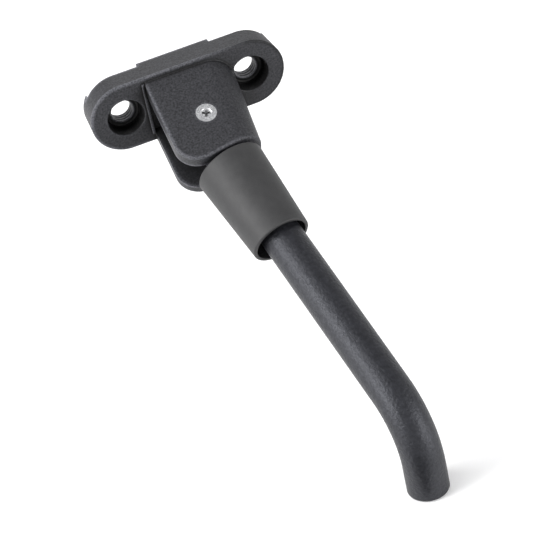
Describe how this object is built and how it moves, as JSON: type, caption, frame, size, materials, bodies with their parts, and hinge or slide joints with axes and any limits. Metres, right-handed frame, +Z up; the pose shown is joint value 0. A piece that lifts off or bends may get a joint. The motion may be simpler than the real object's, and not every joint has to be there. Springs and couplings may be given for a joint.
{
  "type": "electric scooter kickstand",
  "caption": "Folding side stand: stadium mounting plate with a clevis, sprung conical sleeve and a bent round leg whose foot end lies flat on the ground.",
  "frame": {"origin": "middle of the mounting face, halfway between the two bolt holes", "axes": "+X along the line of the bolt holes, +Y out of the mounting face into the deck, +Z up with the foot pointing down"},
  "size_m": [0.0746, 0.1567, 0.1086],
  "materials": {
    "bracket_coat": "fine-grained matte black powder coat on a casting",
    "leg_coat": "satin black powder coat with fine texture",
    "sleeve_plastic": "smooth matte dark grey",
    "zinc_screw": "bright zinc plate",
    "pin_steel": "turned steel",
    "spring_steel": "oiled spring steel"
  },
  "bodies": {
    "bracket": {"bracket": "bracket_coat", "pivot_pin": "pin_steel", "pivot_screw": "zinc_screw"},
    "leg": {"leg": "leg_coat", "spring": "spring_steel", "spring_washer": "spring_steel", "retaining_ring": "spring_steel"},
    "sleeve": {"sleeve": "sleeve_plastic"}
  },
  "joints": [
    {"name": "leg_fold", "type": "hinge", "parent": "bracket", "child": "leg", "pos_m": [0.0008, -0.0252, -0.0084], "axis": [0, 0.4305, -0.9026], "range_deg": [0, 96]},
    {"name": "sleeve_slide", "type": "slide", "parent": "leg", "child": "sleeve", "axis": [0.1444, -0.8931, -0.426], "range_m": [0, 0.0076], "deforming": ["spring"]}
  ],
  "couplings": [
    {"joint": "sleeve_slide", "follows": "leg_fold", "m_per_rad": 0.00448}
  ]
}
